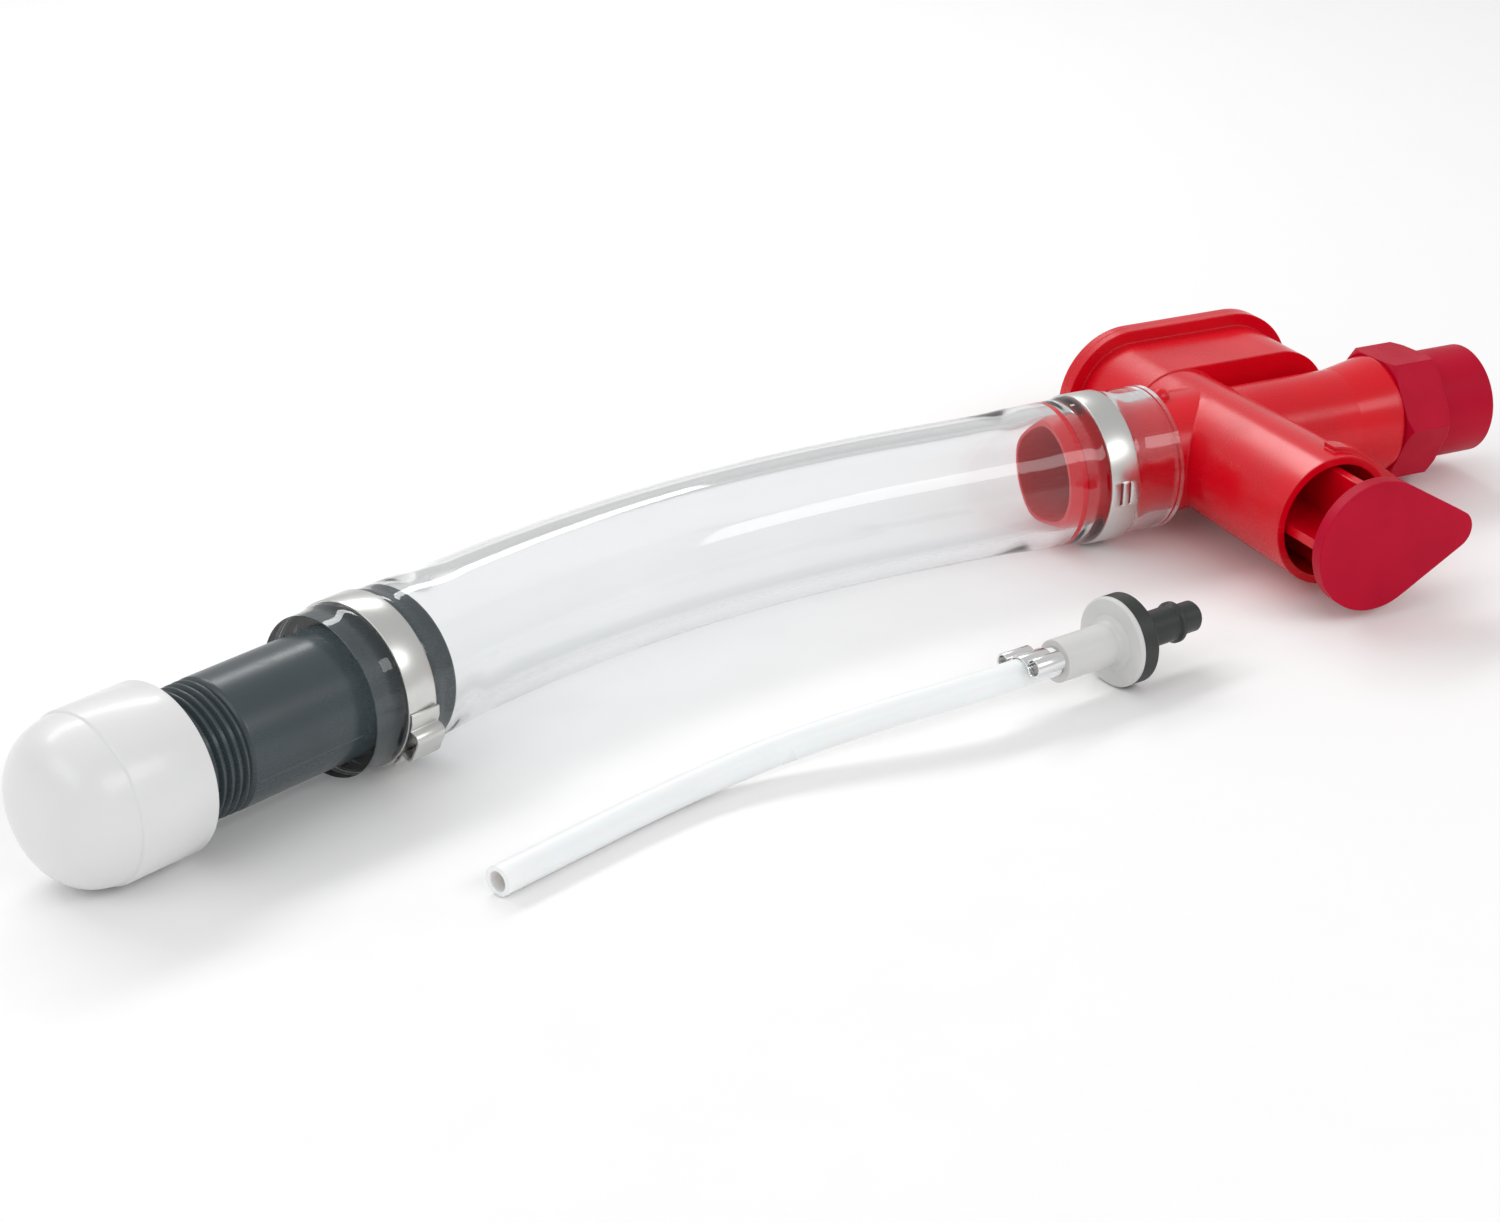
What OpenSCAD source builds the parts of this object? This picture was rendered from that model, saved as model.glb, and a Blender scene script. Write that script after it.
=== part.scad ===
// Siphon hose assembly: a capped pipe nipple, a clear hose and a plug tap, with the loose
// check-valve line that goes with it.
// +X runs along the tap's flow axis towards its inlet end, +Z is up, and the origin is where
// that axis meets the hexagon's outer face. The open mouth of the tap's barrel faces -Y.

/* [Hose] */
// Outside diameter of the free hose
hose_od = 31.75; // [28:0.05:36]
// Outside diameter where the hose is stretched over a fitting
hose_end_od = 32.8; // [31:0.1:38]
// Wall of the hose
hose_wall = 3.05; // [2:0.05:4]
// Straight stretch beside the tap
hose_tap_straight = 62; // [45:1:120]
// Straight stretch beside the nipple
hose_nipple_straight = 42; // [34:1:120]
// Radius of the bend along the hose's centre
bend_radius = 280; // [150:5:600]
// Angle that the hose turns through
bend_angle = 22.8; // [5:0.2:60]

/* [Pipe nipple and cap] */
// Outside diameter of the nipple, three quarter inch pipe
pipe_od = 26.67; // [26:0.01:27]
// Bore of the nipple
pipe_bore = 18.8; // [16:0.1:21]
// Overall length of the nipple
nipple_length = 72.2; // [70:0.1:110]
// Length of the nipple that is inside the hose
nipple_in_hose = 22; // [20:0.5:32]
// Length of the nipple that is inside the cap
nipple_in_cap = 12.4; // [10:0.1:16]
// Thread pitch, 14 to the inch
thread_pitch = 1.814; // [1.5:0.001:2]
// Outside diameter of the cap
cap_od = 33.8; // [32:0.1:36]
// Overall length of the cap
cap_length = 28.5; // [26:0.1:36]
// Height of the cap's dome
dome_height = 11.5; // [6:0.5:14]

/* [Tap] */
// Distance from the barrel's axis to the outer face of the inlet's hexagon
inlet_reach = 57.9; // [54:0.1:75]
// Length of the inlet end beyond the hexagon
inlet_length = 14.5; // [10:0.5:25]
// Distance from the barrel's axis to the hose spigot's lip
spigot_reach = 44; // [36:0.5:60]
// Distance from the flow axis to the barrel's open mouth
mouth_reach = 49.9; // [44:0.1:60]
// Distance from the flow axis to the front of the lever plate
lever_reach = 65.7; // [60:0.1:80]
// Distance from the flow axis to the back of the body
back_reach = 35.2; // [30:0.1:45]
// Outside diameter of the barrel at its mouth
mouth_od = 29.4; // [28.6:0.1:31]
// Diameter of the rotary plug
plug_d = 22.88; // [20:0.02:22.92]
// Diameter of the flow passage through the plug
port_d = 17; // [12:0.5:17]
// Distance between the two round ends of the back chamber
chamber_spread = 27.7; // [20:0.1:34]
// Width of the inlet adapter's hexagon across flats
hex_flats = 27.9; // [26:0.1:32]
// Outside diameter of the inlet end
inlet_od = 25.6; // [24:0.1:27]

/* [Lever] */
// Diameter of the round part of the lever plate
lever_d = 29.4; // [24:0.1:32]
// Distance from the lever's axis to its tip
lever_tip = 24.8; // [20:0.1:30]
// Thickness of the lever plate
lever_thick = 3; // [2:0.1:4]

/* [Hose clamps] */
// Width of the clamp band
band_width = 7; // [7:0.5:12]
// Thickness of the clamp band
band_thick = 0.7; // [0.5:0.1:1]

/* [Check valve line] */
// Outside diameter of the small tube
tube_od = 6; // [5:0.1:8]
// Bore of the small tube
tube_bore = 4; // [3:0.1:5]
// Diameter of the check valve's disc
disc_d = 19.1; // [16:0.1:24]

/* [Hidden] */
$fn = 96;

// Hose and nipple
fit_gap = 0.025;                      // radial gap of a piece pushed into another
pipe_r = pipe_od / 2;
hose_end_r = hose_end_od / 2;
barrel_x = -inlet_reach;
hose_stop_x = barrel_x - 16.5;        // where the hose butts against the tap
bend_x = hose_stop_x - hose_tap_straight;
nipple_bend_x = bend_x - bend_radius * sin(bend_angle);
nipple_bend_y = -bend_radius * (1 - cos(bend_angle));
swell_length = 6;                     // stretch over which the hose narrows again
thread_length = nipple_in_cap + 6 * thread_pitch;
thread_taper = 1 / 32;                // radius lost for each millimetre of pipe thread
cap_rim = nipple_length - nipple_in_hose - nipple_in_cap;  // from the hose's end to the cap

// Tap
barrel_r = 13.9;
block_r = 14.2;
rim_r = 17.2;
rim_thick = 2.2;
cover_thick = 2;
block_front = 12.6;
plug_r = plug_d / 2;
plug_bore_r = plug_r + 0.06;
plug_half = 16;
mouth_bore_r = 12.9;
web_thick = 3.2;
web_back = plug_half + 0.3;           // the wall behind the plug starts here
boss_r = 5.9;
boss_hole_r = boss_r + 0.06;
spigot_r = 12.7;
bead_r = 13.1;                        // ridges on the spigot, which grip the hose
nub_r = 2.2;                          // small rounded stop beside the hose's end
spigot_bore_r = 10.9;
pipe_out_r = 12.2;
hex_length = 12;
hex_start = inlet_reach - hex_length;
cone_start = hex_start - 10.9;
shank_r = 10.5;
shank_length = 11.5;
gasket_thick = 2;
seal_r = 0.95;
seal_centre_r = 10.4;
seal_place = 12.6;
arm_half = 11.8;                      // half the width of the plug's crossed stem
arm_thick = 2.2;
lever_back = lever_reach - lever_thick;
thrust_thick = 1.2;
screw_r = 1.9;
screw_head_r = 3.8;

// The small line lies on the same surface as the tap's rim
floor_z = -rim_r;
tube_r = tube_od / 2;
valve_z = floor_z + disc_d / 2;
valve_at = [-125.7, -68.5, valve_z];  // centre of the check valve's inlet face
valve_turn = 10.3;                    // the valve's axis, turned from +X
hub_length = 15;
inlet_flange = 1;                     // thickness of the pale half's disc
outlet_flange = 4.2;                  // thickness of the black half's disc
hub_r = 4.5;
chamber_r = 7;
outlet_length = 23;
// Route of the small tube's centre, from its free end to the check valve's hub
TUBE_ROUTE = [
  [-270, -95.2, -14.2], [-262, -92, -14.2], [-250, -87.2, -14.2], [-236, -81.8, -14.1],
  [-222, -77.4, -13.7], [-208, -75, -12.4], [-194, -74.4, -10.8], [-180, -74.6, -9.2],
  [-168, -74.8, -8.2], [-158, -74.2, -7.75], [-149, -72.7, -7.65], [-140.8, -71.2, -7.65]];

module along_x() { rotate([0, 90, 0]) children(); }

// Puts a shape drawn along +Z on the barrel's axis, with +Z towards the mouth
module on_barrel() { translate([barrel_x, 0, 0]) rotate([90, 0, 0]) children(); }

// Puts a shape on the hose's nipple end: +X runs out of the hose towards the cap
module at_nipple_end() {
  translate([nipple_bend_x, nipple_bend_y, 0])
    rotate([0, 0, 180 + bend_angle])
      translate([hose_nipple_straight, 0, 0])
        children();
}

module ring(r_out, r_in, length) {
  difference() {
    cylinder(r = r_out, h = length);
    translate([0, 0, -1]) cylinder(r = r_in, h = length + 2);
  }
}

module stadium(r) {
  circle(r = r);
  translate([chamber_spread, 0]) circle(r = r);
  translate([0, -r]) square([chamber_spread, 2 * r]);
}

/* ---- Cap and nipple ---- */

module cap_profile() {
  step = 0.6;
  wall_r = cap_od / 2;
  top = cap_length - dome_height;
  polygon(concat(
    [[0, 24], [7.5, 24], [10.5, 21], [10.5, nipple_in_cap + 2.1], [13.42, nipple_in_cap + 2.1],
     [13.42, 1], [14, 0], [wall_r - 0.8, 0], [wall_r, 0.8], [wall_r, top], [wall_r - step, top]],
    [for (a = [4 : 4 : 90]) [(wall_r - step) * pow(cos(a), 0.68), top + dome_height * sin(a)]]));
}

module end_cap() {
  color("white")
    at_nipple_end() translate([cap_rim, 0, 0]) along_x() rotate_extrude() cap_profile();
}

module cap_washer() {
  color("dimgray")
    at_nipple_end() translate([cap_rim + nipple_in_cap + 0.05, 0, 0]) along_x() ring(13.3, 9.6, 2);
}

module nipple_thread_profile() {
  depth = 1.1;
  turns = floor(thread_length / thread_pitch);
  start = cap_rim + nipple_in_cap - thread_length;
  polygon(concat(
    [[pipe_bore / 2, -nipple_in_hose], [pipe_r - 0.6, -nipple_in_hose],
     [pipe_r, -nipple_in_hose + 0.6], [pipe_r, start - 0.6], [pipe_r - 0.5, start]],
    [for (i = [0 : turns - 1], k = [0 : 3])
      let (z = start + (i + [0.12, 0.42, 0.58, 0.88][k]) * thread_pitch,
           crest = pipe_r - 0.08 - (z - start) * thread_taper)
        [crest - (k == 0 || k == 3 ? depth : 0), z]],
    [[pipe_r - 1.6, cap_rim + nipple_in_cap], [pipe_bore / 2, cap_rim + nipple_in_cap]]));
}

module nipple() {
  color("darkslategray") at_nipple_end() along_x() rotate_extrude() nipple_thread_profile();
}

/* ---- Hose ---- */

// One straight end as a solid of revolution, from past its open end to just inside the bend
module hose_end(end_r, middle_r, stretched, length, past) {
  lap = 1;                            // how far it reaches into the bend
  lap_r = middle_r + 0.25;            // so that it holds the bend's end whole
  rotate_extrude()
    polygon([
      [0, -past], [end_r, -past], [end_r, stretched], [lap_r, stretched + swell_length],
      [lap_r, length + lap], [0, length + lap]]);
}

// The whole hose as a solid rod, with the radius at its tap end, its nipple end and between
module hose_rod(tap_r, nipple_r, middle_r, past) {
  translate([hose_stop_x, 0, 0]) rotate([0, -90, 0])
    hose_end(tap_r, middle_r, spigot_reach - 13.5, hose_tap_straight, past);
  translate([bend_x, -bend_radius, 0]) rotate([0, 0, 90])
    rotate_extrude(angle = bend_angle) translate([bend_radius, 0]) circle(r = middle_r);
  at_nipple_end() rotate([0, -90, 0])
    hose_end(nipple_r, middle_r, nipple_in_hose + 3, hose_nipple_straight, past);
}

module hose() {
  color("whitesmoke", 0.5) difference() {
    hose_rod(hose_end_r, hose_end_r, hose_od / 2, 0);
    hose_rod(bead_r + 0.02, pipe_r + fit_gap, hose_od / 2 - hose_wall, 1);
  }
}

/* ---- Hose clamps ---- */

// An ear clamp about the X axis, with its ear turned by ear_angle from +Z
module ear_clamp(ear_angle) {
  r = hose_end_r + fit_gap;
  ear_width = 9;
  ear_height = 3.4;
  rotate([ear_angle, 0, 0]) along_x() {
    difference() {
      ring(r + band_thick, r, band_width);
      translate([-r - 3, -3.2, -1]) cube([4, 6.4, band_width + 2]);
    }
    translate([-r, 0, 0]) linear_extrude(band_width) difference() {
      polygon([
        [0.45, -ear_width / 2], [0.45, -3.2], [-ear_height + band_thick, -2.6],
        [-ear_height + band_thick, 2.6], [0.45, 3.2], [0.45, ear_width / 2],
        [-0.35, ear_width / 2], [-ear_height, 3.4], [-ear_height, -3.4],
        [-0.35, -ear_width / 2]]);
      translate([r, 0]) circle(r = r);
    }
  }
}

module nipple_hose_clamp() {
  color("silver") at_nipple_end() translate([-14.4, 0, 0]) ear_clamp(-115);
}

module tap_hose_clamp() {
  color("silver") translate([barrel_x - 35.8, 0, 0]) ear_clamp(-120);
}

/* ---- Tap ---- */

module spigot_profile() {
  lip = spigot_reach;
  polygon([
    [0, 0], [0, lip], [spigot_bore_r, lip], [spigot_bore_r + 1, lip], [bead_r, lip - 2.4],
    [bead_r, lip - 3.6], [12.3, lip - 4.2], [spigot_r, lip - 8], [bead_r, lip - 10.5],
    [bead_r, lip - 11.5], [12.3, lip - 12], [spigot_r, lip - 16], [spigot_r, 17.5],
    [bead_r, 16.6], [13.7, 16.5], [13.7, 0]]);
}

module inlet_profile() {
  polygon([
    [0, 0], [pipe_out_r, 0], [pipe_out_r, cone_start], [hex_flats / 2 - 0.1, hex_start - 1],
    [hex_flats / 2 - 0.1, hex_start - 0.05], [0, hex_start - 0.05]]);
}

// The lug that shows where the open lever points
module mouth_lug() {
  translate([0, 0, mouth_reach - 7]) linear_extrude(4) intersection() {
    polygon(concat(
      [for (a = [90 : -6 : 60]) 15.8 * [cos(a), sin(a)]],
      [for (a = [60 : -10 : -60]) [20.5, 0] + 3.4 * [cos(a), sin(a)]],
      [for (a = [-60 : -6 : -90]) 15.8 * [cos(a), sin(a)]]));
    translate([1, -20]) square([40, 40]);
  }
}

module tap_body() {
  cavity_r = 12;
  color("crimson") difference() {
    union() {
      on_barrel() {
        translate([0, 0, -block_front])
          cylinder(r1 = barrel_r, r2 = mouth_od / 2, h = mouth_reach + block_front);
        translate([0, 0, -back_reach + 0.5])
          linear_extrude(back_reach - block_front - 0.5) stadium(block_r);
        translate([0, 0, -back_reach]) linear_extrude(rim_thick) stadium(rim_r);
        mouth_lug();
      }
      translate([barrel_x, 0, 0]) {
        rotate([0, -90, 0]) rotate_extrude() spigot_profile();
        along_x() rotate_extrude() inlet_profile();
      }
      translate([barrel_x - 13.4, 0, barrel_r - 0.2]) sphere(r = nub_r, $fn = 32);
    }
    on_barrel() {
      translate([0, 0, -web_back]) cylinder(r = plug_bore_r, h = web_back + plug_half + 1);
      translate([0, 0, plug_half + 1])
        cylinder(r1 = plug_bore_r + 0.6, r2 = mouth_bore_r, h = mouth_reach - plug_half);
      translate([0, 0, -back_reach]) cylinder(r = boss_hole_r, h = back_reach);
      translate([0, 0, -back_reach - 1])
        linear_extrude(back_reach + 1 - web_back - web_thick) stadium(cavity_r);
    }
    translate([barrel_x - spigot_reach - 1, 0, 0]) along_x()
      cylinder(r = spigot_bore_r, h = spigot_reach - 13.5);
    translate([barrel_x - 20, 0, 0]) along_x()
      cylinder(r = port_d / 2, h = 20 + hex_start + 1);
    translate([barrel_x + hex_start - shank_length - gasket_thick - 0.1, 0, 0]) along_x()
      cylinder(r = shank_r + fit_gap, h = shank_length + gasket_thick + 1);
  }
}

module tap_back_cover() {
  color("crimson") on_barrel() {
    translate([0, 0, -back_reach - cover_thick]) linear_extrude(cover_thick) stadium(rim_r);
    translate([0, 0, -back_reach - 0.01]) linear_extrude(2.5) difference() {
      stadium(11.9);
      stadium(10.4);
    }
  }
}

module inlet_adapter() {
  hex_r = hex_flats / sqrt(3);
  edge = 0.4;
  color("firebrick") along_x() difference() {
    union() {
      rotate([0, 0, 27]) intersection() {
        translate([0, 0, -hex_length]) cylinder(r = hex_r, h = hex_length, $fn = 6);
        rotate_extrude()
          polygon([[0, -hex_length], [14.6, -hex_length], [16.4, 1.2 - hex_length], [16.4, -1.2],
                   [14.6, 0], [0, 0]]);
      }
      rotate_extrude()
        polygon([
          [0, -hex_length - shank_length], [shank_r, -hex_length - shank_length],
          [shank_r, -1], [inlet_od / 2, -1], [inlet_od / 2, inlet_length - edge],
          [inlet_od / 2 - edge, inlet_length], [0, inlet_length]]);
    }
    translate([0, 0, -hex_length - shank_length - 1])
      cylinder(r = port_d / 2, h = shank_length + hex_length + 2);
    cylinder(r = 10.4, h = inlet_length + 1);
  }
}

module inlet_gasket() {
  color("black")
    translate([barrel_x + hex_start - shank_length - gasket_thick - 0.05, 0, 0]) along_x()
      ring(shank_r - 0.1, port_d / 2 + 0.3, gasket_thick);
}

/* ---- Plug and lever ---- */

module seal_groove(z) {
  translate([0, 0, z - 1.1]) ring(plug_r + 1, seal_centre_r - seal_r - 0.02, 2.2);
}

module stem_cross(half, length) {
  for (turn = [0, 90]) rotate([0, 0, turn])
    translate([-half, -arm_thick / 2, 0]) cube([2 * half, arm_thick, length]);
}

module tap_plug() {
  neck = plug_half + 2;               // below this the stem passes through the plug's own bore
  color("red") on_barrel() {
    difference() {
      union() {
        translate([0, 0, -plug_half]) cylinder(r = plug_r, h = 2 * plug_half);
        translate([0, 0, -web_back - web_thick - 0.3]) cylinder(r = boss_r, h = 8);
        translate([0, 0, plug_half - 1]) stem_cross(plug_r - 0.3, neck - plug_half + 1);
        translate([0, 0, neck]) stem_cross(arm_half, lever_back - neck);
      }
      translate([-20, 0, 0]) rotate([0, 90, 0]) cylinder(r = port_d / 2, h = 40);
      for (z = [-seal_place, seal_place]) seal_groove(z);
      translate([0, 0, -web_back - web_thick - 1]) cylinder(r = screw_r + fit_gap, h = 9);
    }
  }
}

module lever_plate() {
  tip_r = 4.5;
  round_r = lever_d / 2;
  tip_x = lever_tip - tip_r;
  lean = asin((round_r - tip_r) / tip_x);
  color("firebrick") on_barrel() translate([0, 0, lever_back])
    linear_extrude(lever_thick)
      polygon(concat(
        [for (a = [90 - lean : 5 : 270 + lean]) round_r * [cos(a), sin(a)]],
        [for (a = [lean - 90 : 10 : 90 - lean]) [tip_x, 0] + tip_r * [cos(a), sin(a)]]));
}

module plug_seal(z) {
  color("black") on_barrel() translate([0, 0, z])
    rotate_extrude() translate([seal_centre_r, 0]) circle(r = seal_r, $fn = 32);
}
module plug_front_seal() { plug_seal(seal_place); }
module plug_back_seal() { plug_seal(-seal_place); }

module plug_thrust_washer() {
  color("gainsboro") on_barrel()
    translate([0, 0, -web_back - web_thick - 0.3 - thrust_thick]) ring(8.5, 2.1, thrust_thick);
}

module plug_screw() {
  head = 2.4;
  seat = web_back + web_thick + 0.3 + thrust_thick;
  color("silver") on_barrel() difference() {
    union() {
      translate([0, 0, -seat]) cylinder(r = screw_r, h = 8.5);
      translate([0, 0, -seat - head]) cylinder(r = screw_head_r, h = head);
    }
    for (turn = [0, 90]) rotate([0, 0, turn])
      translate([-2.4, -0.45, -seat - head - 1]) cube([4.8, 0.9, 2.2]);
  }
}

/* ---- Check valve line ---- */

// Direction of the route at point i
function heading(route, i) =
  let (a = route[max(i - 1, 0)], b = route[min(i + 1, len(route) - 1)], d = b - a) d / norm(d);

// Corners of one ring of the tube's wall
function ring_points(route, i, r, sides) =
  let (d = heading(route, i), side = cross([0, 0, 1], d) / norm(cross([0, 0, 1], d)),
       up = cross(d, side))
    [for (k = [0 : sides - 1])
      let (a = 360 * k / sides) route[i] + r * (cos(a) * side + sin(a) * up)];

module swept_tube(route, r, sides) {
  n = len(route);
  points = [for (i = [0 : n - 1]) each ring_points(route, i, r, sides)];
  wall = [for (i = [0 : n - 2], k = [0 : sides - 1])
    let (a = i * sides + k, b = i * sides + (k + 1) % sides) [a, a + sides, b + sides, b]];
  start = [for (k = [0 : sides - 1]) k];
  finish = [for (k = [sides - 1 : -1 : 0]) (n - 1) * sides + k];
  polyhedron(points, concat(wall, [start, finish]));
}

module air_tube() {
  color("whitesmoke", 0.6) swept_tube(TUBE_ROUTE, tube_r, 12);
}

// Puts a shape drawn along +Z on the check valve's axis, with +Z towards its outlet
module on_valve() { translate(valve_at) rotate([0, 0, valve_turn]) rotate([0, 90, 0]) children(); }

module valve_inlet_half() {
  color("white") on_valve() difference() {
    rotate_extrude()
      polygon([
        [0, -hub_length], [hub_r, -hub_length], [hub_r, -1.6], [hub_r + 0.4, -0.6],
        [hub_r + 1.4, 0], [disc_d / 2 - 0.4, 0], [disc_d / 2, 0.4], [disc_d / 2, inlet_flange],
        [0, inlet_flange]]);
    translate([0, 0, -hub_length - 1]) cylinder(r = 1.6, h = hub_length + 4);
  }
}

module valve_outlet_half() {
  back = inlet_flange + outlet_flange;
  color([0.16, 0.17, 0.17]) on_valve() difference() {
    rotate_extrude()
      polygon([
        [0, inlet_flange], [disc_d / 2, inlet_flange], [disc_d / 2, back - 0.6],
        [disc_d / 2 - 0.6, back], [4.6, back], [3.8, back + 1.4], [3.8, 16], [4.4, 16.6],
        [4.4, 17.4], [3.3, 18.4], [3.3, outlet_length - 0.6], [2.8, outlet_length],
        [0, outlet_length]]);
    cylinder(r = 1.9, h = outlet_length + 1);
    cylinder(r = chamber_r, h = inlet_flange + 2);
  }
}

module valve_diaphragm() {
  color("gray") on_valve() translate([0, 0, inlet_flange + 0.1]) cylinder(r = 5.6, h = 0.8);
}

// The flat spring clip: a strap over the tube, with a curled ear at each side
module tube_clip() {
  clip_length = 7;
  clip_start = -24.5;
  strap = 0.5;
  strap_r = tube_r + 0.3;
  ear_r = 1.7;
  lean = 14;                          // the clip is turned round the tube by this much
  color("lightgray") on_valve() translate([0, 0, clip_start]) rotate([0, 0, lean]) {
    difference() {
      ring(strap_r + strap, strap_r, clip_length);
      translate([0.8, -10, -1]) cube([10, 20, clip_length + 2]);
    }
    for (side = [-1, 1]) {
      translate([0.8 - strap, side * (strap_r + 1.1) - 1.1, 0]) cube([strap, 2.2, clip_length]);
      translate([0.8 - strap + ear_r, side * (strap_r + 2.2), 0]) difference() {
        ring(ear_r, ear_r - strap, clip_length);
        translate([-3, side > 0 ? -6 : 0, -1]) cube([6, 6, clip_length + 2]);
      }
    }
  }
}

end_cap();
cap_washer();
nipple();
hose();
nipple_hose_clamp();
tap_hose_clamp();
tap_body();
tap_back_cover();
inlet_adapter();
inlet_gasket();
tap_plug();
lever_plate();
plug_front_seal();
plug_back_seal();
plug_thrust_washer();
plug_screw();
air_tube();
tube_clip();
valve_inlet_half();
valve_outlet_half();
valve_diaphragm();
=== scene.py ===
import math

import bpy
from mathutils import Matrix, Vector


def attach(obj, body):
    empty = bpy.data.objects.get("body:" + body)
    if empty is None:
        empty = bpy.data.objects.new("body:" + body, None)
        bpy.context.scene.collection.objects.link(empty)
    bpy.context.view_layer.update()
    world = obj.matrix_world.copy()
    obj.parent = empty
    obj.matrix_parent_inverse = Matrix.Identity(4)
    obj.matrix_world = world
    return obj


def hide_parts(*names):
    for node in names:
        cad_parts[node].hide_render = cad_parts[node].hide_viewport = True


bl_info = {
    "name": "Siphon hose finish",
    "version": (1, 0, 0),
    "blender": (4, 5, 0),
    "location": "View3D > Sidebar > Siphon",
    "description": "Finished pieces, materials and studio for a clear siphon hose with a plug tap",
    "category": "Object",
}

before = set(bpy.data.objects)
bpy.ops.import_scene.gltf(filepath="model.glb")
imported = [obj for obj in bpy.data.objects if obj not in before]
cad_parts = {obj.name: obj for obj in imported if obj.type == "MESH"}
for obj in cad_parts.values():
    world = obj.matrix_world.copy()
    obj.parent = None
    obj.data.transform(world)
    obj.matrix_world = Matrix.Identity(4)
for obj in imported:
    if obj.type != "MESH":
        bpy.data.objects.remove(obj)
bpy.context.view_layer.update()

MM = 0.001

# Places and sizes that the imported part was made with, in millimetres
HOSE_STOP_X = -74.4           # where the hose butts against the tap
TAP_STRAIGHT = 62.0           # straight hose beside the tap
NIPPLE_STRAIGHT = 42.0        # straight hose beside the nipple
BEND_RADIUS = 280.0
BEND_ANGLE = math.radians(22.8)
FREE_R = 15.875               # outside radius of the free hose
STRETCHED_R = 16.4            # outside radius over a fitting
FREE_BORE_R = 12.825          # bore radius of the free hose
SPIGOT_IN_HOSE = 27.5
NIPPLE_R = 13.335
NIPPLE_BORE_R = 9.4
NIPPLE_IN_HOSE = 22.0
CAP_RIM = 37.8                # from the hose's end to the cap's rim
NIPPLE_IN_CAP = 12.4
THREAD_PITCH = 1.814
CAP_LENGTH = 28.5
CAP_R = 16.9
TAP_CLAMP_MIDDLE = 15.8       # from where the hose butts against the tap to the band's middle
NIPPLE_CLAMP_MIDDLE = 10.9    # from the hose's other end to the band's middle
TUBE_R = 3.0
TUBE_WALL = 1.0
FLOOR_Z = -17.2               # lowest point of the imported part
VALVE_AT = (-125.7, -68.5, -7.65)
VALVE_TURN = math.radians(10.3)

# Bore radii over the fittings, a hair inside their outsides so that no film of air shows
BORE_ON_SPIGOT_R = 13.06
BORE_ON_NIPPLE_R = NIPPLE_R - 0.05

TUBE_ROUTE = [
    (-270, -95.2, -14.2), (-262, -92, -14.2), (-250, -87.2, -14.2), (-236, -81.8, -14.1),
    (-222, -77.4, -13.7), (-208, -75, -12.4), (-194, -74.4, -10.8), (-180, -74.6, -9.2),
    (-168, -74.8, -8.2), (-158, -74.2, -7.75), (-149, -72.7, -7.65), (-140.8, -71.2, -7.65)]

BEND_X = HOSE_STOP_X - TAP_STRAIGHT
BEND_END = Vector((BEND_X - BEND_RADIUS * math.sin(BEND_ANGLE),
                   -BEND_RADIUS * (1 - math.cos(BEND_ANGLE)), 0))
TOWARDS_CAP = Vector((-math.cos(BEND_ANGLE), -math.sin(BEND_ANGLE), 0))
HOSE_END = BEND_END + NIPPLE_STRAIGHT * TOWARDS_CAP
BEND_LENGTH = BEND_RADIUS * BEND_ANGLE
HOSE_LENGTH = TAP_STRAIGHT + BEND_LENGTH + NIPPLE_STRAIGHT

Z_TO_X = Matrix.Rotation(math.radians(90), 4, "Y")
AT_HOSE_END = (Matrix.Translation(HOSE_END * MM)
               @ Matrix.Rotation(math.pi + BEND_ANGLE, 4, "Z"))
ON_VALVE = (Matrix.Translation(Vector(VALVE_AT) * MM)
            @ Matrix.Rotation(VALVE_TURN, 4, "Z"))


# ---- Settings ------------------------------------------------------------------------------

class HoseSettings(bpy.types.PropertyGroup):
    clear_colour: bpy.props.FloatVectorProperty(
        name="Clear colour", description="Tint of the clear hose", subtype="COLOR",
        default=(0.955, 0.965, 0.97), min=0, max=1)
    bulge: bpy.props.FloatProperty(
        name="Bulge", description="How far the hose swells beside a clamp's band",
        default=0.35 * MM, min=0, max=1.5 * MM, precision=5, unit="LENGTH")


class TapSettings(bpy.types.PropertyGroup):
    gloss_colour: bpy.props.FloatVectorProperty(
        name="Body colour", description="Colour of the glossy body and plug", subtype="COLOR",
        default=(0.68, 0.0, 0.010), min=0, max=1)
    satin_colour: bpy.props.FloatVectorProperty(
        name="Lever colour", description="Colour of the satin lever and inlet adapter",
        subtype="COLOR", default=(0.48, 0.0, 0.024), min=0, max=1)


class ClampSettings(bpy.types.PropertyGroup):
    band_width: bpy.props.FloatProperty(
        name="Band width", description="Width of the clamps' band", default=7 * MM,
        min=6 * MM, max=12 * MM, precision=4, unit="LENGTH")
    band_thick: bpy.props.FloatProperty(
        name="Band thickness", description="Thickness of the clamps' band", default=0.7 * MM,
        min=0.4 * MM, max=1.2 * MM, precision=5, unit="LENGTH")


class StudioSettings(bpy.types.PropertyGroup):
    back_light: bpy.props.FloatProperty(
        name="Back light", description="Power of the softbox behind the hose", default=3.5,
        min=0, unit="POWER")
    front_light: bpy.props.FloatProperty(
        name="Front light", description="Power of the softbox before the tap", default=2.6,
        min=0, unit="POWER")
    sky: bpy.props.FloatProperty(
        name="Surround", description="Brightness of the pale surround", default=0.62, min=0,
        max=3)


# ---- Modelling tools -----------------------------------------------------------------------

def select_nothing():
    """Leaves edit mode and deselects every object."""
    if bpy.context.mode != "OBJECT":
        bpy.ops.object.mode_set(mode="OBJECT")
    bpy.ops.object.select_all(action="DESELECT")


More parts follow.
